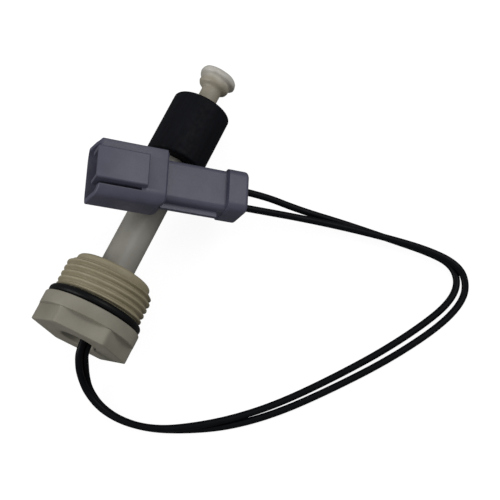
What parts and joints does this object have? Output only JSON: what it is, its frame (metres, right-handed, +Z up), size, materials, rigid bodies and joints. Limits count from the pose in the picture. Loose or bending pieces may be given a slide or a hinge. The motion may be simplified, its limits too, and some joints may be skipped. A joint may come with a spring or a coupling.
{
  "type": "oil level sensor",
  "caption": "Screw-in float level sensor: hexagon-headed threaded plug, stem with a sliding float and end cap, and a connector on two lead wires.",
  "frame": {"origin": "on the surface that the sensor lies on, under the middle of the plug, stem, float and cap's bounding box", "axes": "+X along the stem from the hexagon head to the end cap, +Z up; the lead wires' loop lies towards -Y"},
  "size_m": [0.1075, 0.115, 0.0381],
  "materials": {
    "plug_plastic": "moulded glass-filled plastic, slightly satin",
    "stem_plastic": "extruded plastic, satin",
    "cap_plastic": "plain moulded plastic",
    "seal_rubber": "soft black rubber",
    "float_foam": "closed-cell rubber foam, matte",
    "magnet_ferrite": "sintered ferrite",
    "reed_glass": "clear",
    "reed_metal": "plated",
    "copper_wire": "tinned copper conductor in a thin enamel",
    "sleeve_plastic": "shrink sleeve",
    "potting_resin": "cast resin, satin",
    "wire_jacket": "smooth black insulation",
    "housing_plastic": "moulded plastic, satin",
    "wedge_plastic": "moulded plastic",
    "wire_seal_rubber": "soft silicone",
    "contact_metal": "nickel-plated brass"
  },
  "bodies": {
    "plug": {"connector_housing": "housing_plastic", "end_cap": "cap_plastic", "inner_wire_far": "copper_wire", "inner_wire_near": "copper_wire", "lead_wire_a": "wire_jacket", "lead_wire_b": "wire_jacket", "pin_contact_a": "contact_metal", "pin_contact_b": "contact_metal", "plug_body": "plug_plastic", "potting_fill": "potting_resin", "reed_blade_far": "reed_metal", "reed_blade_near": "reed_metal", "reed_glass": "reed_glass", "sealing_ring": "seal_rubber", "spacer_tube": "stem_plastic", "splice_sleeve_far": "sleeve_plastic", "splice_sleeve_near": "sleeve_plastic", "wedge_lock": "wedge_plastic", "wire_seal": "wire_seal_rubber"},
    "float": {"float_body": "float_foam", "ring_magnet": "magnet_ferrite"}
  },
  "joints": [
    {"name": "float_slide", "type": "slide", "parent": "plug", "child": "float", "axis": [0.997, 0, -0.0777], "range_m": [0, 0.006]}
  ]
}
